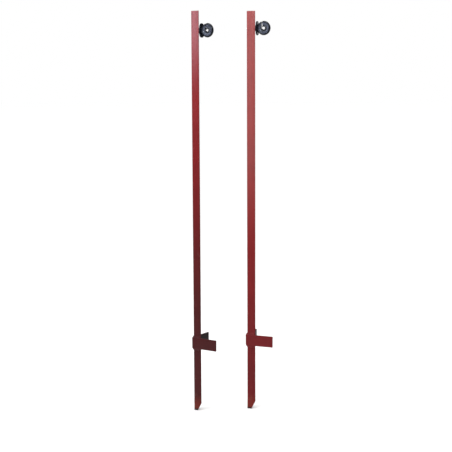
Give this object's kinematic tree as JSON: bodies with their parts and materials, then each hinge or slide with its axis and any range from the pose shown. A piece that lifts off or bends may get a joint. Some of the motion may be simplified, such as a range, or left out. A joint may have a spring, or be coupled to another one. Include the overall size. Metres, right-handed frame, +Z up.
{
  "type": "electric fence post pair",
  "caption": "Pair of red angle-iron electric fence posts with a pointed foot, a welded V tread to step on, and a turning black ring insulator near the top.",
  "frame": {"origin": "midway between the two posts' heels, on the ground line that both treads come down to within 3 mm", "axes": "+Z up along the posts, +X from the left post to the right post, +Y away from the viewer"},
  "size_m": [0.2345, 0.1348, 1.15],
  "materials": {
    "red_oxide_paint": "satin",
    "black_plastic": "gloss",
    "zinc_plate": "satin"
  },
  "bodies": {
    "left_post": {"left_angle_post": "red_oxide_paint", "left_tread": "red_oxide_paint", "left_upper_weld": "red_oxide_paint", "left_lower_weld": "red_oxide_paint", "left_inner_washer": "zinc_plate", "left_inner_nut": "zinc_plate", "left_outer_washer": "zinc_plate", "left_outer_nut": "zinc_plate"},
    "left_ring": {"left_insulator": "black_plastic", "left_stud": "zinc_plate"},
    "right_post": {"right_angle_post": "red_oxide_paint", "right_tread": "red_oxide_paint", "right_upper_weld": "red_oxide_paint", "right_lower_weld": "red_oxide_paint", "right_inner_washer": "zinc_plate", "right_inner_nut": "zinc_plate", "right_outer_washer": "zinc_plate", "right_outer_nut": "zinc_plate"},
    "right_ring": {"right_insulator": "black_plastic", "right_stud": "zinc_plate"}
  },
  "joints": [
    {"name": "left_insulator_turn", "type": "hinge", "parent": "left_post", "child": "left_ring", "pos_m": [-0.04855, -0.01022, 0.9075], "axis": [0.8387, -0.5446, 0], "continuous": true},
    {"name": "posts_apart", "type": "slide", "parent": "left_post", "child": "right_post", "axis": [1, 0, 0], "range_m": [0, 0.6]},
    {"name": "right_insulator_turn", "type": "hinge", "parent": "right_post", "child": "right_ring", "pos_m": [0.10773, 0.00722, 0.914], "axis": [0.9239, -0.3827, 0], "continuous": true}
  ]
}
